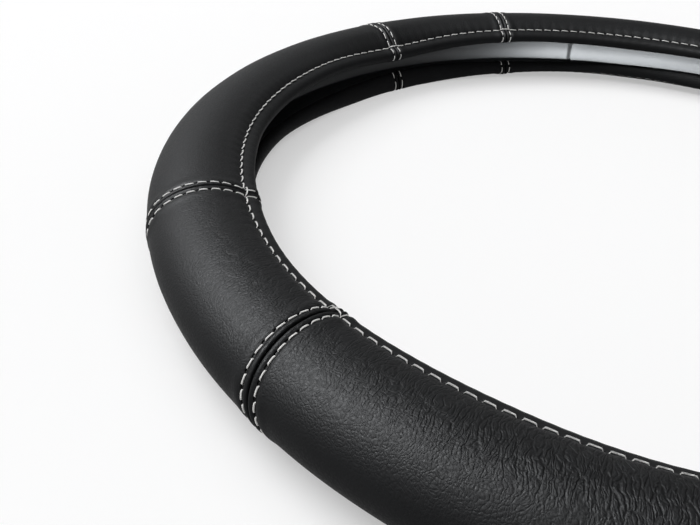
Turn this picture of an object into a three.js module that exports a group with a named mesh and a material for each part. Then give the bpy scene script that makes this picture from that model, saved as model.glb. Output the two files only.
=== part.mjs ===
// A sewn steering wheel cover: eight padded leather panels, a rubber liner and their sewing threads.
// Millimetres. The ring lies on its side, its axis on Z and its underside on z = 0.
// A place on the tube is given by three values: turn, the angle round the ring; around, the angle round the
// tube's section, 0 at the outside, 90 on top and 180 at the hole; and out, the height above the surface.

import * as THREE from 'three';

// The tube
const RING_RADIUS = 171;
const TUBE_HALF_WIDTH = 19;
const TUBE_HALF_HEIGHT = 15;

// The lips, which leave the tube open towards the hole: their edge's section angle, and how far back from
// it their middle, their row of stitches and their root lie. Past the underside, the lower lip reaches only
// this share as far round as the upper one.
const LIP_EDGE = 158.5;
const EDGE_TO_MIDDLE_ANGLE = 11.5;
const EDGE_TO_ROW_ANGLE = 23.8;
const EDGE_TO_ROOT_ANGLE = 36.5;
const LOWER_LIP_REACH = 0.85;
const LIP_PUFF = 0.9;
const ROW_PRESS = 0.4;
const HEM_WIDTH = 1.7;
const WAVES_PER_TURN = 8;
const LIP_WAVE = 0.6;

// The flats on top and underneath end at these section angles
const FLAT_START = 78;
const FLAT_END = 102;
const OUTSIDE_STEPS = 6;

// The leather panels and their seams
const SHORT_PANEL_ANGLE = 25.4;
const SHORT_PANEL_STEPS = 3;
const LONG_PANEL_STEPS = 7;
const PANEL_PAIRS = 4;
const LEATHER_UNDER_THREAD = 0.95;
const OUTSIDE_PADDING = 9.5;
const SEAM_GAP = 0.6;
const EDGE_DROP = 1;
const ROLL_WIDTH = 0.5;
const RIDGE_OFFSET = 1.2;
const RIDGE_RISE = 0.3;
const ROW_OFFSET = 2.4;
const SEAM_HALF_WIDTH = 3.7;

// The threads
const THREAD_THICKNESS = 0.7;
const THREAD_SINK = 0.1;
const THREAD_END_GAP = 0.6;
const CHANNEL_CLEARANCE = 0.45;

// The rubber liner, whose back is nearly flat between two corners at these section angles
const LINER_THICKNESS = 1.8;
const BACK_CORNER_ANGLE = 79;
const LINER_LIP_STEPS = 3;
const LAP_TURN = 104.8;
const LAP_LENGTH = 7;
const LAP_RAMP = 10;

// The clearances between pieces that touch
const FIT_GAP = 0.3;
const LINER_GAP = 0.5;

const DEGREE = Math.PI / 180;
const FULL_TURN = 360;
const UNDERSIDE = -90;
const SAME_PLACE = 0.001;
const CHANNEL_DEPTH = THREAD_SINK + THREAD_THICKNESS + CHANNEL_CLEARANCE;
const LEATHER_THICKNESS = CHANNEL_DEPTH + LEATHER_UNDER_THREAD;
const LINER_OUTSIDE = -LEATHER_THICKNESS - LINER_GAP;
const LINER_INSIDE = LINER_OUTSIDE - LINER_THICKNESS;
const MIDDLE_HEIGHT = TUBE_HALF_HEIGHT * Math.sin(FLAT_START * DEGREE);
const LIP_MIDDLE = LIP_EDGE - EDGE_TO_MIDDLE_ANGLE;
const LIP_ROW = LIP_EDGE - EDGE_TO_ROW_ANGLE;
const LIP_ROOT = LIP_EDGE - EDGE_TO_ROOT_ANGLE;
const HEM_ANGLE = LIP_EDGE - sectionAngle(HEM_WIDTH);
const LINER_EDGE = HEM_ANGLE - sectionAngle(LINER_GAP);

const LEATHER = { color: 0x1c1c1d, roughness: 0.55, metalness: 0 };
const RUBBER = { color: 0x101113, roughness: 0.25, metalness: 0 };
const THREAD = { color: 0xe9e8e4, roughness: 0.8, metalness: 0 };

// Lengths along the ring and along the section near the lips, as angles in degrees
function turnAngle(length) {
  return length / RING_RADIUS / DEGREE;
}

function sectionAngle(length) {
  return length / TUBE_HALF_HEIGHT / DEGREE;
}

// The lips wave in and out round the ring, more the nearer to their edge
function lipShare(around) {
  const share = (Math.abs(around) - LIP_ROOT) / (LIP_EDGE - LIP_ROOT);
  return Math.min(Math.max(share, 0), 1);
}

// The section's plane: the distance from the ring's axis and the height
function sectionPoint(turn, around, out) {
  const pastUnderside = Math.min(around - UNDERSIDE, 0);
  const angle = (around - (1 - LOWER_LIP_REACH) * pastUnderside) * DEGREE;
  const normal = new THREE.Vector2(Math.cos(angle) / TUBE_HALF_WIDTH, Math.sin(angle) / TUBE_HALF_HEIGHT);
  normal.normalize();
  const wave = LIP_WAVE * lipShare(around) * Math.cos(WAVES_PER_TURN * turn * DEGREE);
  const radius = RING_RADIUS + TUBE_HALF_WIDTH * Math.cos(angle) + out * normal.x + wave;
  const height = MIDDLE_HEIGHT + TUBE_HALF_HEIGHT * Math.sin(angle) + out * normal.y - Math.sign(around) * wave;
  return { radius, height: Math.max(height, 0) };
}

function ringPoint(turn, around, out) {
  const { radius, height } = sectionPoint(turn, around, out);
  return new THREE.Vector3(radius * Math.cos(turn * DEGREE), radius * Math.sin(turn * DEGREE), height);
}

// Moves each vertex of a straight extrusion to its place on the ring
function bend(shape, stations, place) {
  const steps = stations.length - 1;
  const geometry = new THREE.ExtrudeGeometry(shape, { depth: steps, steps, bevelEnabled: false });
  const vertices = geometry.attributes.position;
  const vertex = new THREE.Vector3();
  for (let index = 0; index < vertices.count; index += 1) {
    vertex.fromBufferAttribute(vertices, index);
    const moved = place(vertex, stations[Math.round(vertex.z)]);
    vertices.setXYZ(index, moved.x, moved.y, moved.z);
  }
  geometry.computeVertexNormals();
  return geometry;
}

// Sweeps a section round the ring. Each corner of the section holds its around and its out, and a lift
// that is true where the corner rises and falls with the stations.
function sweepRound(corners, stations) {
  const drawn = corners.map(({ around, out }) => {
    const { radius, height } = sectionPoint(0, around, out);
    return new THREE.Vector2(height, radius);
  });
  return bend(new THREE.Shape(drawn), stations, (vertex, station) => {
    const corner = corners[drawn.findIndex((point) => point.distanceTo(vertex) < SAME_PLACE)];
    const rise = corner.lift ? station.rise : 0;
    return ringPoint(station.turn, corner.around, corner.out + rise);
  });
}

// The panel's outer face from the lower lip's edge to the upper one's
function outerCorners() {
  const lips = [
    { around: LIP_EDGE, out: LIP_PUFF },
    { around: LIP_MIDDLE, out: LIP_PUFF / 2 },
    { around: LIP_ROW, out: -ROW_PRESS },
    { around: LIP_ROOT, out: 0 },
    { around: FLAT_END, out: 0 },
  ];
  const corners = lips.map(({ around, out }) => ({ around: -around, out, lift: true }));
  for (let step = 0; step <= OUTSIDE_STEPS; step += 1) {
    corners.push({ around: FLAT_START * (2 * step / OUTSIDE_STEPS - 1), out: 0, lift: true });
  }
  return corners.concat(lips.reverse().map(({ around, out }) => ({ around, out, lift: true })));
}

// Corners of a face along the liner, from the upper edge to the lower one, shared by both pieces there. The
// padding is thickest at the outside, between the leather and the liner's back.
function linerCorners(out, lift) {
  const spacing = (LINER_EDGE - BACK_CORNER_ANGLE) / LINER_LIP_STEPS;
  const upper = [];
  for (let step = 0; step <= LINER_LIP_STEPS; step += 1) {
    upper.push({ around: LINER_EDGE - spacing * step, out, lift });
  }
  const lower = upper.map((corner) => ({ ...corner, around: -corner.around })).reverse();
  return [...upper, { around: 0, out: out - OUTSIDE_PADDING, lift }, ...lower];
}

// A panel's section: the outer face, and an inner face whose hems turn in past the liner's edges
function panelCorners() {
  const inner = linerCorners(-LEATHER_THICKNESS, false);
  const upperHem = [
    { around: LIP_EDGE, out: LINER_INSIDE, lift: false },
    { around: HEM_ANGLE, out: LINER_INSIDE, lift: false },
    { around: HEM_ANGLE, out: -LEATHER_THICKNESS, lift: false },
  ];
  const lowerHem = upperHem.map(({ around, out }) => ({ around: -around, out, lift: false })).reverse();
  return [...outerCorners(), ...upperHem, ...inner, ...lowerHem];
}

// Even stations between two seams, with the liner's lap added, shared by every piece that runs round
function bodyTurns(panel) {
  const start = panel.start + turnAngle(SEAM_HALF_WIDTH);
  const end = panel.end - turnAngle(SEAM_HALF_WIDTH);
  const spacing = (end - start) / panel.steps;
  const lap = lapTurns().filter((turn) => turn > start + SAME_PLACE && turn < end - SAME_PLACE);
  const turns = [];
  for (let step = 0; step <= panel.steps; step += 1) {
    const turn = start + spacing * step;
    const isEnd = step === 0 || step === panel.steps;
    if (isEnd || lap.every((mark) => Math.abs(mark - turn) > turnAngle(FIT_GAP))) {
      turns.push(turn);
    }
  }
  return turns.concat(lap).sort((low, high) => low - high);
}

function lapTurns() {
  const inner = LAP_TURN + turnAngle(LAP_LENGTH);
  return [LAP_TURN, inner, inner + turnAngle(LAP_RAMP)];
}

// The surface from a seam's groove: the turned edge, the ridge, the thread's channel and the panel's body
function seamStations() {
  const half = SEAM_GAP / 2;
  return [
    { offset: half, rise: -EDGE_DROP },
    { offset: half + ROLL_WIDTH, rise: RIDGE_RISE / 2 },
    { offset: RIDGE_OFFSET, rise: RIDGE_RISE },
    { offset: ROW_OFFSET, rise: -CHANNEL_DEPTH },
  ];
}

function panelStations(panel) {
  const seam = seamStations();
  const first = seam.map(({ offset, rise }) => ({ turn: panel.start + turnAngle(offset), rise }));
  const body = bodyTurns(panel).map((turn) => ({ turn, rise: 0 }));
  const last = seam.map(({ offset, rise }) => ({ turn: panel.end - turnAngle(offset), rise })).reverse();
  return [...first, ...body, ...last];
}

// The panels in order round the ring, from the long one on the right
function listPanels() {
  const longNames = ['right', 'top', 'left', 'bottom'];
  const shortNames = ['upper_right', 'upper_left', 'lower_left', 'lower_right'];
  const pairAngle = FULL_TURN / PANEL_PAIRS;
  const longHalf = (pairAngle - SHORT_PANEL_ANGLE) / 2;
  const panels = [];
  for (let pair = 0; pair < PANEL_PAIRS; pair += 1) {
    const middle = pair * pairAngle;
    const shortStart = middle + longHalf;
    const shortEnd = shortStart + SHORT_PANEL_ANGLE;
    panels.push({
      name: `panel_long_${longNames[pair]}`,
      start: middle - longHalf,
      end: shortStart,
      steps: LONG_PANEL_STEPS,
    });
    panels.push({
      name: `panel_short_${shortNames[pair]}`,
      start: shortStart,
      end: shortEnd,
      steps: SHORT_PANEL_STEPS,
    });
  }
  return panels;
}

// The turns that the liner and the lip threads share with the panels, for one turn from the first seam
function sharedTurns(panels) {
  return panels.flatMap((panel) => bodyTurns(panel));
}

// The liner is one strip. It starts on top of its own end, steps down beside it and runs right round.
function linerStations(panels) {
  const [lapStart, lapInner, rampEnd] = lapTurns();
  const stepIn = -LINER_THICKNESS - LINER_GAP;
  const turns = sharedTurns(panels);
  const wholeTurn = turns.map((turn) => (turn <= rampEnd + SAME_PLACE ? turn + FULL_TURN : turn));
  const lapEnd = lapInner + FULL_TURN;
  const run = wholeTurn.filter((turn) => turn < lapEnd - SAME_PLACE).sort((low, high) => low - high);
  return [
    { turn: lapStart, rise: stepIn },
    { turn: lapInner, rise: stepIn },
    { turn: rampEnd, rise: 0 },
    ...run.map((turn) => ({ turn, rise: 0 })),
    { turn: lapEnd, rise: 0 },
  ];
}

function linerGeometry(panels) {
  const outside = linerCorners(LINER_OUTSIDE, true).reverse();
  const inside = linerCorners(LINER_INSIDE, true);
  return sweepRound([...outside, ...inside], linerStations(panels));
}

// A lip thread lies in the hollow of its row, rises over each seam's ridges, and meets its own end at a seam
function lipThreadGeometry(panels, side) {
  const half = THREAD_THICKNESS / 2;
  const middle = FIT_GAP + half - ROW_PRESS;
  const halfAngle = sectionAngle(half);
  const row = side * LIP_ROW;
  const corners = [
    { around: row, out: middle - half },
    { around: row + halfAngle, out: middle },
    { around: row, out: middle + half },
    { around: row - halfAngle, out: middle },
  ].map((corner) => ({ ...corner, lift: true }));
  const stations = panels.flatMap((panel) => {
    const turns = bodyTurns(panel);
    const last = turns.length - 1;
    return turns.map((turn, index) => ({ turn, rise: index === 0 || index === last ? RIDGE_RISE : 0 }));
  });
  const start = panels[0].start + turnAngle(THREAD_END_GAP / 2);
  const end = panels[0].start + FULL_TURN - turnAngle(THREAD_END_GAP / 2);
  return sweepRound(corners, [{ turn: start, rise: RIDGE_RISE }, ...stations, { turn: end, rise: RIDGE_RISE }]);
}

// A seam thread runs over the tube from lip to lip, sunk in its channel
function seamThreadGeometry(seamTurn, side) {
  const half = THREAD_THICKNESS / 2;
  const diamond = new THREE.Shape();
  diamond.moveTo(half, 0);
  diamond.lineTo(0, half);
  diamond.lineTo(-half, 0);
  diamond.lineTo(0, -half);
  const isBetweenEdges = ({ around }) => Math.abs(around) < LIP_EDGE;
  const stations = outerCorners().filter(isBetweenEdges).reverse();
  const depth = -THREAD_SINK - half;
  return bend(diamond, stations, (vertex, { around, out }) => {
    const turn = seamTurn + turnAngle(side * ROW_OFFSET + vertex.x);
    return ringPoint(turn, around, out + depth + vertex.y);
  });
}

function addMesh(cover, name, geometry, finish) {
  const mesh = new THREE.Mesh(geometry, new THREE.MeshStandardMaterial(finish));
  mesh.name = name;
  cover.add(mesh);
}

function buildCover() {
  const cover = new THREE.Group();
  cover.name = 'steering_wheel_cover';
  const panels = listPanels();
  for (const panel of panels) {
    addMesh(cover, panel.name, sweepRound(panelCorners(), panelStations(panel)), LEATHER);
  }
  addMesh(cover, 'rubber_liner', linerGeometry(panels), RUBBER);
  panels.forEach((panel, index) => {
    const sides = panel.name.startsWith('panel_long') ? ['short', 'long'] : ['long', 'short'];
    const seam = `seam_${index + 1}_thread`;
    addMesh(cover, `${seam}_${sides[0]}_side`, seamThreadGeometry(panel.start, -1), THREAD);
    addMesh(cover, `${seam}_${sides[1]}_side`, seamThreadGeometry(panel.start, 1), THREAD);
  });
  addMesh(cover, 'upper_lip_thread', lipThreadGeometry(panels, 1), THREAD);
  addMesh(cover, 'lower_lip_thread', lipThreadGeometry(panels, -1), THREAD);
  return cover;
}

export default buildCover();
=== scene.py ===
# The looks of a sewn steering wheel cover: stitched black leather over a glossy rubber liner.
# Sizes are in millimetres and become metres where a piece is finished. A place on the tube has a turn, the
# angle round the ring; an arc, the length round the section from the outside, positive upwards; and a lift.
import math

import bmesh
import bpy
import numpy as np
from mathutils import Matrix, Vector


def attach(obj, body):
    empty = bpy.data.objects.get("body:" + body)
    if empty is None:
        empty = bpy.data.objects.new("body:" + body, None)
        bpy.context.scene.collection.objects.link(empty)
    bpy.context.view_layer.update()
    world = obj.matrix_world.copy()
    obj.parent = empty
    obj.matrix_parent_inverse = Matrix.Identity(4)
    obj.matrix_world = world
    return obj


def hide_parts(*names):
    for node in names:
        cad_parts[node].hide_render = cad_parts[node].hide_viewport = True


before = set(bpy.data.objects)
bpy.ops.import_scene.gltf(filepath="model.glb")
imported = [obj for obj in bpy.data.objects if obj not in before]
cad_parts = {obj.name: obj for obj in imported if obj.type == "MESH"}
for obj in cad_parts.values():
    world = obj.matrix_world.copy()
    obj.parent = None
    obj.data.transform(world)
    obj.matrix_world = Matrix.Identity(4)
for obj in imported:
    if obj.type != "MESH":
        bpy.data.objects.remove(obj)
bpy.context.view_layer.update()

MM = 0.001
FULL_TURN = 360.0

# The tube, as in the model
RING_RADIUS = 171.0
HALF_WIDTH = 19.0
HALF_HEIGHT = 15.0
MIDDLE_HEIGHT = HALF_HEIGHT * math.sin(math.radians(78.0))
LIP_EDGE = 158.5
LIP_ROW = 134.7
LIP_ROOT = 122.0
WAVES_PER_TURN = 8
LIP_WAVE = 0.6
WAVE_START = 4.5
LOWER_LIP_REACH = 0.85
UNDERSIDE = -90.0

# The leather's edge, rolled round the liner's and turned in
LIP_PUFF = 1.5
LEATHER_THICKNESS = 1.0
NOSE_RADIUS = 2.8
HEM_LENGTH = 5.0

# The panels and what is sewn
PANEL_PAIRS = 4
SHORT_PANEL_ANGLE = 25.4
SEAM_GAP = 0.4
SEAM_ROW = 2.4
LONG_PANEL_STITCHES = 36
SHORT_PANEL_STITCHES = 14
SEAM_PITCH = 4.15
THREAD_RADIUS = 0.24

# The stitches: their lengths, the height of their middles over the leather and the dip of their ends. A long
# one lies over each seam's ridges, and a seam's rows run on past the lip rows by some stitches.
LIP_STITCH, LIP_STITCH_LIFT, LIP_STITCH_DIP = 4.7, 0.42, 1.1
LONG_STITCH, LONG_STITCH_LIFT = 6.4, 0.8
SEAM_STITCH, SEAM_STITCH_LIFT, SEAM_STITCH_DIP = 3.8, 0.30, 1.2
STITCHES_BELOW, STITCHES_ABOVE = 3, 2
STITCH_END = 8
STITCH_SIDES, STITCH_CUTS = 6, 5

# The sewn tube has slipped and twisted a little. For each seam: how far it lies along the ring from its
# even place at the upper row, and its further lean for each degree round the section, to the underside.
SEAM_SLIPS = [0.0, 0.0, 0.0, -3.0, -5.0, -0.5, 0.0, 0.0]
SEAM_LEANS = [0.0, 0.0, 0.0, -0.019, -0.027, 0.022, 0.05, 0.0]
LEAN_REACH = 160.0

# The upper row of stitches drifts outwards round this turn, by this length
ROW_DRIFT = 3.0
ROW_DRIFT_TURN = 293.0
ROW_DRIFT_WIDTH = 15.0
ROW_DRIFT_INSIDE, ROW_DRIFT_OUTSIDE = 4.0, 10.0

# The far upper lip droops, the far lower lip is fuller below, and at the right it is fuller above. Each
# has a height, a turn and a width, and comes in over these arounds.
UPPER_LIP_FADE = (100.0, 135.0)
LOWER_LIP_FADE = (92.0, 125.0)
UPPER_DROOP = (-2.5, 146.0, 12.0)
LOWER_SAG = (-4.5, 148.0, 22.0)
LOWER_RISE = (2.5, 78.0, 14.0)

# The liner
LINER_OUTSIDE = -2.6
LINER_INSIDE = -4.2
LINER_EDGE = 146.0
LINER_BACK = 176.3
BACK_CURVE = 26.0
CORNER_SOFTNESS = 0.35
SOFT_LIMIT = 30.0
LAP_TURN = 104.8
LAP_LENGTH = 7.0
SKIVE_LENGTH = 4.0
END_THICKNESS = 0.2
LAP_PROUD = 0.12
LAP_ROOM = 0.05
LAP_RAMP = 6.0
LAP_FADE = 10.0
LINER_MM_PER_DEGREE = 0.3

# Shapes that are pressed into the leather: the height, place and width of each swelling or hollow
SEAM_SHAPE = [(-1.3, 0.0, 0.25), (0.5, 1.05, 0.8), (-0.32, 2.4, 0.55), (0.3, 4.3, 1.7)]
ROW_SHAPE = [(-0.3, 0.0, 0.9), (0.2, -3.4, 2.2)]
ROW_SHAPE_FADE = (0.3, 3.4)

# How deep the needle holes pull the leather in, at the lip rows and at the seams
PINCH_DEPTH, PINCH_BODY_REACH, PINCH_LIP_REACH = 0.2, 5.0, 2.6
PULL_DEPTH, PULL_WIDTH = 0.14, 1.3

# The folds across the ring and the slack of the skin
FOLD_DEPTH, FINE_FOLD_DEPTH = 0.16, 0.08
FOLD_BEND = 1.5
SLACK_HEIGHT = 0.16

# Where the leather is creased and crackled: the distances from the lip row at which this starts, is full,
# fades and is gone. Then its least share, and the share, turn and width of each worn place.
CREASE_STRIP = (0.2, 1.2, 13.0, 29.0)
CREASE_WEAR = (0.12, [(0.9, 272.0, 26.0), (0.25, 226.0, 12.0)])
CRACKLE_STRIP = (5.0, 13.0, 27.0, 40.0)
CRACKLE_WEAR = (0.06, [(0.9, 252.0, 19.0), (0.32, 225.0, 13.0)])

# Heights in the leather's fine relief
PEBBLE_HEIGHT, PORE_HEIGHT = 0.05, 0.02
DEEP_CREASE, SHALLOW_CREASE = 0.20, 0.09
COARSE_CRACK, FINE_CRACK, FINE_GRAIN = 0.032, 0.03, 0.010
HOLE_DEPTH = 0.5

# The meshes: the spacing close to a seam, a row or an end, the spacing elsewhere, and the reach of the first
PANEL_COLUMNS = (0.28, 0.8, 4.5)
PANEL_ROWS = (0.6, 1.15, 4.0)
LINER_COLUMNS = (0.5, 3.0, 5.0)
LINER_ROWS = 80


def turn_angle(length):
    """A length along the ring as an angle in degrees."""
    return length / RING_RADIUS * 180.0 / math.pi


def turn_length(angle):
    return angle * math.pi / 180.0 * RING_RADIUS


def ease(value, low, high):
    share = np.clip((value - low) / (high - low), 0.0, 1.0)
    return share * share * (3.0 - 2.0 * share)


def bell(turn, middle, width):
    """A swell of 1 round the middle turn, fading to each side."""
    off = (turn - middle + FULL_TURN / 2) % FULL_TURN - FULL_TURN / 2
    return np.exp(-(off / width) ** 2)


def swell(shape, place):
    """The sum of the swellings and hollows of a shape at a place."""
    return sum(height * np.exp(-((place - centre) / width) ** 2) for height, centre, width in shape)


def strip_share(place, start, full, fading, gone):
    return ease(place, start, full) * (1.0 - ease(place, fading, gone))


def wear(turn, least, places):
    return np.minimum(least + sum(share * bell(turn, middle, width) for share, middle, width in places), 1.0)


def section_path():
    """Arc lengths, arounds, outs and facings of the upper half of the skin, from the outside to the hem."""
    around = np.linspace(0.0, LIP_EDGE, PATH_STEPS)
    angle = np.radians(around)
    speed = np.hypot(HALF_WIDTH * np.sin(angle), HALF_HEIGHT * np.cos(angle))
    arc = np.concatenate([[0.0], np.cumsum((speed[1:] + speed[:-1]) / 2 * np.diff(angle))])
    per_degree = math.radians(speed[-1])
    nose_start = LIP_EDGE - NOSE_RADIUS / per_degree
    nose_arc = np.interp(nose_start, around, arc)
    row_arc = float(np.interp(LIP_ROW, around, arc))
    body = around < nose_start
    nose = np.linspace(0.0, math.pi, NOSE_STEPS)
    hem = np.linspace(0.0, HEM_LENGTH, NOSE_STEPS)[1:]
    hem_arc = nose_arc + NOSE_RADIUS * math.pi
    path = {
        "arc": np.concatenate([arc[body], nose_arc + NOSE_RADIUS * nose, hem_arc + hem]),
        "around": np.concatenate([around[body], nose_start + NOSE_RADIUS * np.sin(nose) / per_degree,
                                  nose_start - hem / per_degree]),
        "out": np.concatenate([0 * arc[body], NOSE_RADIUS * (np.cos(nose) - 1), 0 * hem - 2 * NOSE_RADIUS]),
        "facing": np.concatenate([0 * arc[body], nose, 0 * hem + math.pi]),
    }
    return path, per_degree, row_arc, float(nose_arc)


PATH_STEPS = 2000
NOSE_STEPS = 40
PATH, MM_PER_DEGREE, ROW_ARC, NOSE_ARC = section_path()
END_ARC = float(PATH["arc"][-1])


def ring_place(turn, around, out, rise=0.0):
    """The place in metres of points given by turn and around in degrees and out and rise in millimetres."""
    past_underside = np.minimum(around - UNDERSIDE, 0.0)
    angle = np.radians(around - (1.0 - LOWER_LIP_REACH) * past_underside)
    normal_r, normal_z = np.cos(angle) / HALF_WIDTH, np.sin(angle) / HALF_HEIGHT
    length = np.hypot(normal_r, normal_z)
    share = np.clip((np.abs(around) - LIP_ROOT) / (LIP_EDGE - LIP_ROOT), 0.0, 1.0)
    wave = LIP_WAVE * share * np.cos(np.radians(WAVES_PER_TURN * (turn - WAVE_START)))
    radius = RING_RADIUS + HALF_WIDTH * np.cos(angle) + out * normal_r / length + wave
    height = MIDDLE_HEIGHT + HALF_HEIGHT * np.sin(angle) + out * normal_z / length - np.sign(around) * wave
    height = height + rise + UPPER_DROOP[0] * bell(turn, *UPPER_DROOP[1:]) * ease(around, *UPPER_LIP_FADE)
    heading = np.radians(turn)
    place = np.stack([radius * np.cos(heading), radius * np.sin(heading), np.maximum(height, 0.0)], axis=-1)
    return place * MM


def slipped(turn, around):
    """The turn of a place on the leather after the tube has slipped and twisted."""
    slip = np.interp(turn, SEAM_TURNS, SEAM_SLIPS, period=FULL_TURN)
    lean = np.interp(turn, SEAM_TURNS, SEAM_LEANS, period=FULL_TURN)
    return turn + turn_angle(slip + lean * np.minimum(LIP_ROW - around, LEAN_REACH))


def skin_place(turn, arc, lift):
    """Like ring_place, for points lifted off the leather's smooth skin at an arc length."""
    far = np.abs(arc)
    side = np.where(arc < 0, -1.0, 1.0)
    off_row = far - ROW_ARC
    drift = ROW_DRIFT * bell(turn, ROW_DRIFT_TURN, ROW_DRIFT_WIDTH) * (arc > 0)
    far = far - drift * np.exp(-(off_row / np.where(off_row > 0, ROW_DRIFT_INSIDE, ROW_DRIFT_OUTSIDE)) ** 2)
    around = np.interp(far, PATH["arc"], PATH["around"])
    out = np.interp(far, PATH["arc"], PATH["out"]) + LIP_PUFF * ease(far, ROW_ARC, NOSE_ARC)
    facing = np.interp(far, PATH["arc"], PATH["facing"])
    around = side * (around + lift * np.sin(facing) / MM_PER_DEGREE)
    underneath = ease(-around, *LOWER_LIP_FADE)
    sag = LOWER_SAG[0] * bell(turn, *LOWER_SAG[1:]) * (0.5 + 0.5 * np.cos(facing))
    rise = LOWER_RISE[0] * bell(turn, *LOWER_RISE[1:]) * (0.5 - 0.5 * np.cos(facing))
    return ring_place(slipped(turn, around), around, out + lift * np.cos(facing), underneath * (sag + rise))


def list_panels():
    long_names = ["right", "top", "left", "bottom"]
    short_names = ["upper_right", "upper_left", "lower_left", "lower_right"]
    pair_angle = FULL_TURN / PANEL_PAIRS
    long_half = (pair_angle - SHORT_PANEL_ANGLE) / 2
    panels = []
    for pair in range(PANEL_PAIRS):
        middle = pair * pair_angle
        short_start = middle + long_half
        panels.append({"name": f"panel_long_{long_names[pair]}", "start": middle - long_half,
                       "end": short_start, "stitches": LONG_PANEL_STITCHES})
        panels.append({"name": f"panel_short_{short_names[pair]}", "start": short_start,
                       "end": short_start + SHORT_PANEL_ANGLE, "stitches": SHORT_PANEL_STITCHES})
    return panels


PANELS = list_panels()
SEAM_TURNS = [panel["start"] for panel in PANELS]
SEAM_STITCHES = round(2 * ROW_ARC / SEAM_PITCH)
SEAM_STEP = 2 * ROW_ARC / SEAM_STITCHES


def graded(length, marks, fine, coarse, reach):
    """Stations from 0 to a length, close together within reach of the marks and wider apart between."""
    places = np.linspace(0.0, length, 4000)
    nearest = np.min([np.abs(places - mark) for mark in marks], axis=0)
    spacing = fine + (coarse - fine) * ease(nearest, reach, 2 * reach)
    density = 1.0 / spacing
    count = np.concatenate([[0.0], np.cumsum((density[1:] + density[:-1]) / 2 * np.diff(places))])
    return np.interp(np.linspace(0.0, count[-1], round(count[-1]) + 1), count, places)


LATTICE = np.random.default_rng(11).random((256, 256))


def noise(x, y, layer=0):
    """Smooth noise from 0 to 1, one swell for each unit of x and y."""
    x, y = x + 37.0 * layer, y + 91.0 * layer
    column, row = np.floor(x).astype(int), np.floor(y).astype(int)
    share_x, share_y = ease(x - column, 0.0, 1.0), ease(y - row, 0.0, 1.0)
    low = LATTICE[row % 256, column % 256] * (1 - share_x) + LATTICE[row % 256, (column + 1) % 256] * share_x
    high = (LATTICE[(row + 1) % 256, column % 256] * (1 - share_x)
            + LATTICE[(row + 1) % 256, (column + 1) % 256] * share_x)
    return low * (1 - share_y) + high * share_y


def crease_share(turn, arc):
    """How strongly the leather is creased across the ring at a place, from 0 to 1."""
    return strip_share(ROW_ARC - arc, *CREASE_STRIP) * wear(turn, *CREASE_WEAR)


def crackle_share(turn, arc):
    """How strongly the leather is crackled at a place, from 0 to 1."""
    return strip_share(ROW_ARC - arc, *CRACKLE_STRIP) * wear(turn, *CRACKLE_WEAR)


def relief(panel, turn, arc):
    """The height of the leather's skin over the smooth section."""
    along = turn_length(turn - panel["start"])
    length = turn_length(panel["end"] - panel["start"])
    from_seam = np.minimum(along, length - along)
    from_row = np.abs(arc) - ROW_ARC
    seam = swell(SEAM_SHAPE, from_seam)
    row = swell(ROW_SHAPE, from_row) * ease(from_seam, *ROW_SHAPE_FADE)
    stitch = along / length * panel["stitches"]
    hole = 0.5 - 0.5 * np.cos(2 * math.pi * stitch)
    body_side = np.exp(np.minimum(from_row, 0.0) / PINCH_BODY_REACH)
    lip_side = np.exp(-np.maximum(from_row, 0.0) / PINCH_LIP_REACH)
    pinch = -PINCH_DEPTH * hole * body_side * lip_side * ease(from_seam, 1.0, 4.0)
    seam_stitch = (arc + ROW_ARC) / SEAM_STEP
    seam_hole = 0.5 + 0.5 * np.cos(2 * math.pi * seam_stitch)
    pull = -PULL_DEPTH * seam_hole * np.exp(-((from_seam - SEAM_ROW) / PULL_WIDTH) ** 2)
    creases = crease_share(turn, arc)
    bend = FOLD_BEND * noise(along / 14.0, arc / 9.0, 3)
    fold = 1.0 - np.abs(2.0 * noise(along / 2.3 + bend, arc / 9.0, 5) - 1.0)
    fine = 1.0 - np.abs(2.0 * noise(along / 1.4 + bend, arc / 5.0, 8) - 1.0)
    folds = -creases * (FOLD_DEPTH * fold + FINE_FOLD_DEPTH * fine)
    slack = SLACK_HEIGHT * (noise(along / 19.0, arc / 15.0, 1) - 0.5)
    return seam + row + pinch + pull + folds + slack


def new_object(name, mesh, slot, *nodes):
    piece = bpy.data.objects.new(name, mesh)
    bpy.context.scene.collection.objects.link(piece)
    for face in mesh.polygons:
        face.use_smooth = True
    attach(piece, "root")
    if nodes:
        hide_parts(*nodes)
    return piece


def grid_mesh(name, columns, rows):
    """A flat grid, and for each of its vertices the number of its column and row."""
    built = bmesh.new()
    bmesh.ops.create_grid(built, x_segments=columns - 1, y_segments=rows - 1, size=1.0)
    mesh = bpy.data.meshes.new(name)
    built.to_mesh(mesh)
    built.free()
    places = np.empty(len(mesh.vertices) * 3)
    mesh.vertices.foreach_get("co", places)
    places = places.reshape(-1, 3)
    column = np.rint((places[:, 0] + 1) / 2 * (columns - 1)).astype(int)
    row = np.rint((places[:, 1] + 1) / 2 * (rows - 1)).astype(int)
    return mesh, column, row


def put_vertices(mesh, places):
    mesh.vertices.foreach_set("co", places.reshape(-1))
    mesh.update()


def add_attribute(mesh, name, values):
    mesh.attributes.new(name, "FLOAT", "POINT").data.foreach_set("value", values.astype(np.float32))


def add_surface_map(mesh, along, across):
    """A map of the surface in metres, along the ring and round the section."""
    corners = np.empty(len(mesh.loops), dtype=np.int32)
    mesh.loops.foreach_get("vertex_index", corners)
    spots = np.stack([along[corners], across[corners]], axis=-1) * MM
    mesh.uv_layers.new(name="surface").data.foreach_set("uv", spots.reshape(-1))


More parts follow.
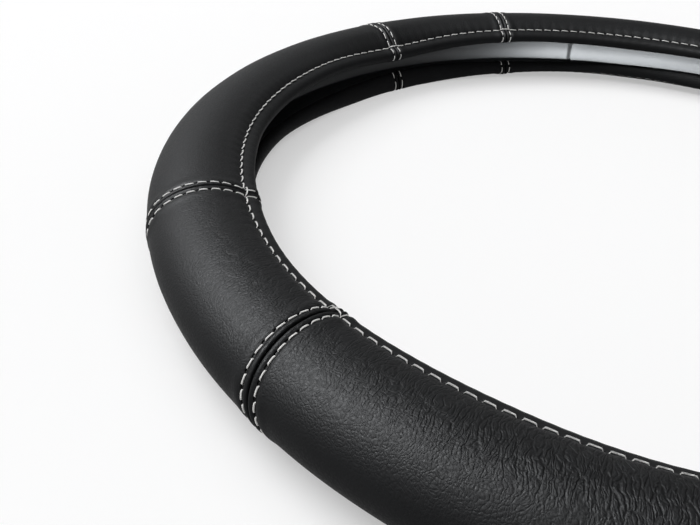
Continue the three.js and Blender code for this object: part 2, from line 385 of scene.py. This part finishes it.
def leather_panel(panel, material):
    length = turn_length(panel["end"] - panel["start"]) - SEAM_GAP
    columns = graded(length, [0.0, length], *PANEL_COLUMNS) + SEAM_GAP / 2
    reach = 2 * END_ARC
    marks = [END_ARC - ROW_ARC, END_ARC + ROW_ARC]
    rows = graded(reach, marks, *PANEL_ROWS) - END_ARC
    mesh, column, row = grid_mesh(panel["name"] + "_leather", len(columns), len(rows))
    along, arc = columns[column], rows[row]
    turn = panel["start"] + turn_angle(along)
    put_vertices(mesh, skin_place(turn, arc, relief(panel, turn, arc)))
    whole = turn_length(panel["end"] - panel["start"])
    add_surface_map(mesh, turn_length(turn), arc)
    add_attribute(mesh, "stitch", along / whole * panel["stitches"])
    add_attribute(mesh, "from_row", np.abs(arc) - ROW_ARC)
    add_attribute(mesh, "from_seam", np.minimum(along, whole - along))
    add_attribute(mesh, "seam_stitch", (arc + ROW_ARC) / SEAM_STEP)
    add_attribute(mesh, "creases", crease_share(turn, arc))
    add_attribute(mesh, "crackle", crackle_share(turn, arc))
    mesh.materials.append(material)
    piece = new_object(panel["name"] + "_leather", mesh, "leather", panel["name"])
    wall = piece.modifiers.new("wall", "SOLIDIFY")
    wall.thickness = LEATHER_THICKNESS * MM
    wall.offset = -1.0
    return piece


def stitch_template():
    """One straight stitch, with a length of 1 along X and a radius of 1."""
    built = bmesh.new()
    bmesh.ops.create_cone(built, cap_ends=True, segments=STITCH_SIDES, radius1=1.0, radius2=1.0, depth=1.0,
                          matrix=Matrix.Rotation(math.pi / 2, 4, "Y"))
    long_edges = [edge for edge in built.edges if abs(edge.verts[0].co.x - edge.verts[1].co.x) > 0.5]
    bmesh.ops.subdivide_edges(built, edges=long_edges, cuts=STITCH_CUTS)
    bmesh.ops.recalc_face_normals(built, faces=built.faces)
    mesh = bpy.data.meshes.new("stitch")
    built.to_mesh(mesh)
    built.free()
    return mesh


def stitch_row(name, count, place, material, node):
    """A row of stitches. place takes a stitch's number and its vertices' along, across and up."""
    template = stitch_template()
    built = bmesh.new()
    for _ in range(count):
        built.from_mesh(template)
    mesh = bpy.data.meshes.new(name)
    built.to_mesh(mesh)
    built.free()
    spots = np.empty(len(mesh.vertices) * 3)
    mesh.vertices.foreach_get("co", spots)
    spots = spots.reshape(-1, 3)
    number = np.repeat(np.arange(count), len(template.vertices))
    along, across, up = spots[:, 0], spots[:, 1], spots[:, 2]
    thin = np.sqrt(np.maximum(1.0 - (2 * np.abs(along)) ** 6 * 0.8, 0.1)) * THREAD_RADIUS
    put_vertices(mesh, place(number, along, across * thin, up * thin))
    corners = np.empty(len(mesh.loops), dtype=np.int32)
    mesh.loops.foreach_get("vertex_index", corners)
    twist = np.stack([(along + number)[corners], (np.arctan2(up, across) / (2 * math.pi))[corners]], axis=-1)
    mesh.uv_layers.new(name="twist").data.foreach_set("uv", twist.reshape(-1))
    mesh.materials.append(material)
    bpy.data.meshes.remove(template)
    return new_object(name, mesh, "thread", node)


def lip_row(side, name, material, node):
    """The stitches along a lip, with a long one over each seam's ridges."""
    turns, lengths, lifts, starts = [], [], [], []
    for panel in PANELS:
        step = (panel["end"] - panel["start"]) / panel["stitches"]
        for stitch in range(panel["stitches"]):
            turns.append(panel["start"] + step * stitch)
            lengths.append(LONG_STITCH if stitch == 0 else LIP_STITCH)
            lifts.append(LIP_STITCH_LIFT + (LONG_STITCH_LIFT if stitch == 0 else 0.0))
            starts.append(panel["start"])
    turns, lengths, lifts, starts = np.array(turns), np.array(lengths), np.array(lifts), np.array(starts)

    def place(number, along, across, up):
        turn = turns[number] + turn_angle(lengths[number] * along)
        arc = side * (ROW_ARC + across + 0.15 - 0.9 * along ** 2 - 0.4 * along)
        inside = turn_length(np.maximum(turn - starts[number], 0.0))
        skin = swell(ROW_SHAPE, 0.0) * ease(inside, *ROW_SHAPE_FADE)
        dip = LIP_STITCH_DIP * (2 * np.abs(along)) ** STITCH_END
        return skin_place(turn, arc, skin + lifts[number] + up - dip)

    return stitch_row(name, len(turns), place, material, node)


def seam_row(seam_turn, side, name, material, node):
    """The stitches of one row over the tube, on past the lip rows and round the lips' edges."""
    count = STITCHES_BELOW + SEAM_STITCHES + STITCHES_ABOVE
    hollow = float(swell(SEAM_SHAPE, SEAM_ROW))

    def place(number, along, across, up):
        middle = -ROW_ARC + (number + 0.5 - STITCHES_BELOW) * SEAM_STEP
        arc = middle + SEAM_STITCH * along
        offset = side * (SEAM_ROW + 0.5 * along ** 2) + across + 0.3 * along
        dip = SEAM_STITCH_DIP * (2 * np.abs(along)) ** STITCH_END
        return skin_place(seam_turn + turn_angle(offset), arc, hollow + SEAM_STITCH_LIFT + up - dip)

    return stitch_row(name, count, place, material, node)


def liner_depth(around):
    """How deep the liner's inner face lies under the skin. Its back is a shallow curve with round corners."""
    angle = np.radians(around)
    radius = RING_RADIUS + HALF_WIDTH * np.cos(angle) - (LINER_BACK - BACK_CURVE)
    height = HALF_HEIGHT * np.sin(angle)
    normal_r, normal_z = np.cos(angle) / HALF_WIDTH, np.sin(angle) / HALF_HEIGHT
    length = np.hypot(normal_r, normal_z)
    along = (radius * normal_r + height * normal_z) / length
    inside = along ** 2 - (radius ** 2 + height ** 2 - BACK_CURVE ** 2)
    back = along - np.sqrt(np.maximum(inside, 0.0))
    extra = np.where(np.abs(around) < 90.0, back + LINER_INSIDE, -SOFT_LIMIT)
    softened = np.clip(extra / CORNER_SOFTNESS, -SOFT_LIMIT, SOFT_LIMIT)
    return -LINER_INSIDE + CORNER_SOFTNESS * np.log1p(np.exp(softened))


def rubber_liner(material):
    """One strip bent into a ring, with its first end lying on its last one."""
    length = turn_length(FULL_TURN) + LAP_LENGTH
    columns = LAP_TURN + turn_angle(graded(length, [0.0, length], *LINER_COLUMNS))
    rows = np.linspace(-LINER_EDGE, LINER_EDGE, LINER_ROWS)
    mesh, column, row = grid_mesh("rubber_liner_strip", len(columns), len(rows))
    turn, around = columns[column], rows[row]
    thickness = LINER_OUTSIDE - LINER_INSIDE
    from_start = turn_length(turn - LAP_TURN)
    past_edge = from_start - turn_length(FULL_TURN)
    skived, covered = (END_THICKNESS + (1.0 - END_THICKNESS) * ease(place, 0.0, SKIVE_LENGTH)
                       for place in (from_start, past_edge))
    proud = LAP_PROUD * (1.0 - ease(from_start, LAP_LENGTH, LAP_LENGTH + LAP_FADE))
    over = thickness * (1.0 - skived) + proud
    under = ease(past_edge, -LAP_RAMP, 0.0) * (thickness * covered - LAP_PROUD + LAP_ROOM)
    outer_face = thickness - liner_depth(around)
    put_vertices(mesh, ring_place(turn, around, outer_face - over + under))
    add_surface_map(mesh, turn_length(turn), around * LINER_MM_PER_DEGREE)
    mesh.materials.append(material)
    piece = new_object("rubber_liner_strip", mesh, "liner", "rubber_liner")
    full = piece.vertex_groups.new(name="full_thickness")
    for number in range(len(columns)):
        full.add(np.flatnonzero(column == number).tolist(), float(skived[column == number][0]), "REPLACE")
    wall = piece.modifiers.new("wall", "SOLIDIFY")
    wall.thickness = thickness * MM
    wall.offset = -1.0
    wall.vertex_group = full.name
    return piece


class Nodes:
    """Short calls for the nodes of one material."""

    def __init__(self, name):
        self.material = bpy.data.materials.new(name)
        self.material.use_nodes = True
        self.tree = self.material.node_tree
        self.shader = self.tree.nodes["Principled BSDF"]

    def add(self, kind, settings=None, **inputs):
        node = self.tree.nodes.new(kind)
        for key, value in (settings or {}).items():
            setattr(node, key, value)
        for key, value in inputs.items():
            self.feed(node.inputs[key.replace("_", " ")], value)
        return node

    def feed(self, socket, value):
        if isinstance(value, bpy.types.NodeSocket):
            self.tree.links.new(value, socket)
        else:
            socket.default_value = value

    def math(self, operation, first, second=0.0):
        node = self.tree.nodes.new("ShaderNodeMath")
        node.operation = operation
        for socket, value in zip(node.inputs, (first, second)):
            self.feed(socket, value)
        return node.outputs[0]

    def sum(self, *values):
        total = values[0]
        for value in values[1:]:
            total = self.math("ADD", total, value)
        return total

    def vector(self, operation, first, second):
        node = self.tree.nodes.new("ShaderNodeVectorMath")
        node.operation = operation
        self.feed(node.inputs[0], first)
        self.feed(node.inputs[1], second)
        return node.outputs[0]

    def attribute(self, name):
        return self.add("ShaderNodeAttribute", {"attribute_name": name}).outputs["Fac"]

    def step(self, value, low, high, start=0.0, end=1.0):
        node = self.add("ShaderNodeMapRange", {"interpolation_type": "SMOOTHSTEP"})
        for socket, number in zip(node.inputs, (value, low, high, start, end)):
            self.feed(socket, number)
        return node.outputs[0]

    def blend(self, share, first, second):
        node = self.add("ShaderNodeMix", {"data_type": "RGBA"})
        self.feed(node.inputs["Factor"], share)
        self.feed(node.inputs["A"], first)
        self.feed(node.inputs["B"], second)
        return node.outputs["Result"]

    def bump(self, height_mm):
        node = self.add("ShaderNodeBump", Strength=1.0, Distance=MM, Height=height_mm)
        self.tree.links.new(node.outputs[0], self.shader.inputs["Normal"])


def leather_material():
    nodes = Nodes("black_leather")
    spot = nodes.add("ShaderNodeTexCoord").outputs["Object"]
    surface = nodes.add("ShaderNodeUVMap", {"uv_map": "surface"}).outputs[0]
    creases = nodes.attribute("creases")
    crackled = nodes.attribute("crackle")

    pebbles = nodes.add("ShaderNodeTexVoronoi", {"feature": "SMOOTH_F1"}, Vector=spot, Scale=1300.0,
                        Smoothness=0.6).outputs["Distance"]
    pores = nodes.add("ShaderNodeTexNoise", Vector=spot, Scale=2600.0, Detail=2.0).outputs["Fac"]
    patches = nodes.add("ShaderNodeTexNoise", Vector=spot, Scale=90.0, Detail=3.0).outputs["Fac"]

    drift = nodes.add("ShaderNodeTexNoise", Vector=surface, Scale=130.0, Detail=3.0).outputs["Color"]
    drift = nodes.vector("SCALE", nodes.vector("SUBTRACT", drift, (0.5, 0.5, 0.5)), (0, 0, 0))
    drift.node.inputs["Scale"].default_value = 0.0050
    warped = nodes.vector("ADD", surface, drift)

    def crease_lines(across, down, width):
        scaled = nodes.vector("MULTIPLY", warped, (1.0 / (across * MM), 1.0 / (down * MM), 1.0))
        settings = {"feature": "DISTANCE_TO_EDGE", "voronoi_dimensions": "2D"}
        cells = nodes.add("ShaderNodeTexVoronoi", settings, Vector=scaled, Scale=1.0)
        return nodes.step(cells.outputs["Distance"], 0.0, width)

    deep = crease_lines(1.6, 7.0, 0.2)
    shallow = crease_lines(1.0, 3.6, 0.26)
    coarse = crease_lines(1.2, 1.8, 0.22)
    fine = crease_lines(0.9, 1.0, 0.3)

    row_hole = hole_mask(nodes, nodes.attribute("stitch"), nodes.attribute("from_row"), 5.0, 0.5)
    seam_off = nodes.math("SUBTRACT", nodes.attribute("from_seam"), SEAM_ROW)
    seam_hole = hole_mask(nodes, nodes.attribute("seam_stitch"), seam_off, SEAM_STEP, 0.0)
    holes = nodes.math("MAXIMUM", row_hole, seam_hole)

    height = nodes.sum(
        nodes.math("MULTIPLY", pebbles, PEBBLE_HEIGHT),
        nodes.math("MULTIPLY", pores, PORE_HEIGHT),
        nodes.math("MULTIPLY", nodes.math("MULTIPLY", deep, creases), DEEP_CREASE),
        nodes.math("MULTIPLY", nodes.math("MULTIPLY", shallow, creases), SHALLOW_CREASE),
        nodes.math("MULTIPLY", nodes.math("MULTIPLY", coarse, crackled), COARSE_CRACK),
        nodes.math("MULTIPLY", fine, nodes.sum(nodes.math("MULTIPLY", crackled, FINE_CRACK), FINE_GRAIN)),
        nodes.math("MULTIPLY", holes, -HOLE_DEPTH),
    )
    nodes.bump(height)
    tone = nodes.blend(patches, (0.0045, 0.0047, 0.0051, 1), (0.0075, 0.0078, 0.0086, 1))
    # Painted shade: the leather's colour is darkened along the crease lines, where it is creased
    furrows = nodes.math("SUBTRACT", 1.0, deep)
    painted_crease_shade = nodes.math("MULTIPLY", furrows, nodes.math("MULTIPLY", creases, 0.6))
    tone = nodes.blend(painted_crease_shade, tone, (0.004, 0.004, 0.0045, 1))
    # Painted shade: the needle holes are darkened nearly to black
    tone = nodes.blend(holes, tone, (0.001, 0.001, 0.001, 1))
    nodes.feed(nodes.shader.inputs["Base Color"], tone)
    rough = nodes.step(pebbles, 0.1, 0.7, 0.53, 0.63)
    nodes.feed(nodes.shader.inputs["Roughness"], rough)
    nodes.shader.inputs["IOR"].default_value = 1.15
    return nodes.material


def hole_mask(nodes, count, off_row, pitch, shift):
    """1 in the needle holes between the stitches of a row, 0 elsewhere."""
    place = nodes.math("FRACT", nodes.math("ADD", count, shift))
    from_hole = nodes.math("PINGPONG", nodes.math("MULTIPLY", place, pitch), pitch / 2)
    long_way = nodes.math("DIVIDE", from_hole, 0.95)
    short_way = nodes.math("DIVIDE", off_row, 0.55)
    distance = nodes.math("SQRT", nodes.sum(nodes.math("MULTIPLY", long_way, long_way),
                                            nodes.math("MULTIPLY", short_way, short_way)))
    return nodes.step(distance, 0.5, 1.05, 1.0, 0.0)


def thread_material():
    nodes = Nodes("off_white_thread")
    twist = nodes.add("ShaderNodeUVMap", {"uv_map": "twist"}).outputs[0]
    turned = nodes.add("ShaderNodeMapping", Vector=twist, Rotation=(0.0, 0.0, math.radians(35.0)))
    plies = nodes.add("ShaderNodeTexWave", Vector=turned.outputs[0], Scale=2.6).outputs["Fac"]
    spot = nodes.add("ShaderNodeTexCoord").outputs["Object"]
    fuzz = nodes.add("ShaderNodeTexNoise", Vector=spot, Scale=4000.0, Detail=2.0).outputs["Fac"]
    nodes.bump(nodes.sum(nodes.math("MULTIPLY", plies, 0.10), nodes.math("MULTIPLY", fuzz, 0.03)))
    # Painted shade: the thread is darker in the grooves between its plies, where the bump is low
    tone = nodes.blend(plies, (0.74, 0.73, 0.70, 1), (0.93, 0.92, 0.90, 1))
    nodes.feed(nodes.shader.inputs["Base Color"], tone)
    nodes.shader.inputs["Roughness"].default_value = 0.7
    nodes.shader.inputs["Sheen Weight"].default_value = 0.3
    return nodes.material


def liner_material():
    nodes = Nodes("glossy_rubber")
    spot = nodes.add("ShaderNodeTexCoord").outputs["Object"]
    ripple = nodes.add("ShaderNodeTexNoise", Vector=spot, Scale=35.0, Detail=1.0).outputs["Fac"]
    specks = nodes.add("ShaderNodeTexNoise", Vector=spot, Scale=900.0, Detail=2.0).outputs["Fac"]
    nodes.bump(nodes.math("MULTIPLY", ripple, 0.25))
    tone = nodes.blend(ripple, (0.010, 0.011, 0.013, 1), (0.016, 0.018, 0.021, 1))
    nodes.feed(nodes.shader.inputs["Base Color"], tone)
    nodes.feed(nodes.shader.inputs["Roughness"], nodes.step(specks, 0.3, 0.7, 0.31, 0.35))
    nodes.shader.inputs["IOR"].default_value = 1.4
    return nodes.material


# The photo's camera, found from the ring's outlines. The ring stands turned against it.
CAMERA_DISTANCE = 291.3
CAMERA_HEIGHT = 152.3
CAMERA_FOCUS = 777.9
CAMERA_YAW, CAMERA_PITCH, CAMERA_ROLL = -0.408, 0.594, 0.059
RING_TURN = math.radians(-6.7)
PHOTO_WIDTH = 700.0


def make_camera():
    camera = bpy.data.cameras.new("camera")
    camera.sensor_width = 36.0
    camera.lens = CAMERA_FOCUS / PHOTO_WIDTH * camera.sensor_width
    camera.clip_start = 0.01
    ahead = Vector((math.sin(CAMERA_YAW) * math.cos(CAMERA_PITCH),
                    math.cos(CAMERA_YAW) * math.cos(CAMERA_PITCH), -math.sin(CAMERA_PITCH)))
    right = Vector((math.cos(CAMERA_YAW), -math.sin(CAMERA_YAW), 0.0))
    up = right.cross(ahead)
    cos_roll, sin_roll = math.cos(CAMERA_ROLL), math.sin(CAMERA_ROLL)
    right, up = cos_roll * right + sin_roll * up, cos_roll * up - sin_roll * right
    axes = Matrix((right, up, -ahead)).transposed().to_4x4()
    place = Matrix.Translation(Vector((0.0, -CAMERA_DISTANCE, CAMERA_HEIGHT)) * MM)
    holder = bpy.data.objects.new("camera", camera)
    holder.matrix_world = Matrix.Rotation(RING_TURN, 4, "Z") @ place @ axes
    bpy.context.scene.collection.objects.link(holder)
    bpy.context.scene.camera = holder


# How far the floor's picture is plain white; the rest of it takes the light and the shadow
FLOOR_WHITE = 0.42


def make_floor():
    built = bmesh.new()
    bmesh.ops.create_grid(built, x_segments=2, y_segments=2, size=4.0)
    mesh = bpy.data.meshes.new("floor")
    built.to_mesh(mesh)
    built.free()
    nodes = Nodes("white_floor")
    nodes.shader.inputs["Base Color"].default_value = (0.96, 0.96, 0.965, 1.0)
    nodes.shader.inputs["Roughness"].default_value = 0.9
    nodes.shader.inputs["Specular IOR Level"].default_value = 0.0
    seen = nodes.add("ShaderNodeLightPath").outputs
    share = nodes.sum(seen["Is Camera Ray"], seen["Is Glossy Ray"], seen["Is Transmission Ray"])
    white = nodes.add("ShaderNodeEmission", Strength=1.0)
    mix = nodes.add("ShaderNodeMixShader")
    nodes.feed(mix.inputs[0], nodes.math("MULTIPLY", nodes.math("MINIMUM", share, 1.0), FLOOR_WHITE))
    nodes.tree.links.new(nodes.shader.outputs[0], mix.inputs[1])
    nodes.tree.links.new(white.outputs[0], mix.inputs[2])
    nodes.tree.links.new(mix.outputs[0], nodes.tree.nodes["Material Output"].inputs["Surface"])
    mesh.materials.append(nodes.material)
    floor = bpy.data.objects.new("floor", mesh)
    bpy.context.scene.collection.objects.link(floor)


def area_light(name, direction, distance, width, height, energy, colour=(1.0, 1.0, 1.0)):
    light = bpy.data.lights.new(name, "AREA")
    light.shape = "RECTANGLE"
    light.size, light.size_y = width, height
    light.energy = energy
    light.color = colour
    holder = bpy.data.objects.new(name, light)
    place = Vector(direction).normalized() * distance
    holder.matrix_world = Matrix.Translation(place) @ place.to_track_quat("Z", "Y").to_matrix().to_4x4()
    bpy.context.scene.collection.objects.link(holder)
    return holder


# The studio: white walls that fade at these heights into a dark ceiling, as sines of the elevation
WALL_TOP, CEILING_START = 0.13, 0.43
WALL_LIGHT, CEILING_LIGHT = 1.0, 0.11


def make_lights(liner):
    world = bpy.data.worlds.new("studio")
    bpy.context.scene.world = world
    world.use_nodes = True
    tree = world.node_tree
    direction = tree.nodes.new("ShaderNodeTexCoord").outputs["Generated"]
    height = tree.nodes.new("ShaderNodeSeparateXYZ")
    tree.links.new(direction, height.inputs[0])
    fade = tree.nodes.new("ShaderNodeMapRange")
    fade.interpolation_type = "SMOOTHSTEP"
    for socket, number in zip(list(fade.inputs)[1:5], (WALL_TOP, CEILING_START, WALL_LIGHT, CEILING_LIGHT)):
        socket.default_value = number
    tree.links.new(height.outputs["Z"], fade.inputs[0])
    tree.links.new(fade.outputs[0], tree.nodes["Background"].inputs["Color"])
    left_fill = area_light("left_fill", (-0.70, 0.10, 0.80), 6.5, 5.0, 4.4, 285.0)
    left_fill.visible_glossy = False
    top_fill = area_light("top_fill", (0.0, 0.0, 1.0), 3.5, 5.0, 5.0, 77.0)
    top_fill.visible_glossy = False
    softbox = area_light("left_softbox", (-0.56, -0.05, 0.83), 2.0, 0.9, 0.7, 370.0, (0.96, 0.98, 1.0))
    softbox.visible_diffuse = False
    window = area_light("front_window", (0.20, -1.0, 0.32), 1.5, 1.9, 0.9, 170.0, (0.93, 0.97, 1.0))
    window.visible_diffuse = False
    lit = bpy.data.collections.new("lit_by_the_window")
    lit.objects.link(liner)
    window.light_linking.receiver_collection = lit


bpy.context.scene.view_settings.view_transform = "Standard"
make_camera()
make_floor()

leather, thread, rubber = leather_material(), thread_material(), liner_material()
for panel in PANELS:
    leather_panel(panel, leather)
for number, panel in enumerate(PANELS, start=1):
    sides = ("short", "long") if panel["stitches"] == LONG_PANEL_STITCHES else ("long", "short")
    for side, side_name in zip((-1, 1), sides):
        node = f"seam_{number}_thread_{side_name}_side"
        seam_row(panel["start"], side, node + "_stitches", thread, node)
lip_row(1, "upper_lip_stitches", thread, "upper_lip_thread")
lip_row(-1, "lower_lip_stitches", thread, "lower_lip_thread")
make_lights(rubber_liner(rubber))
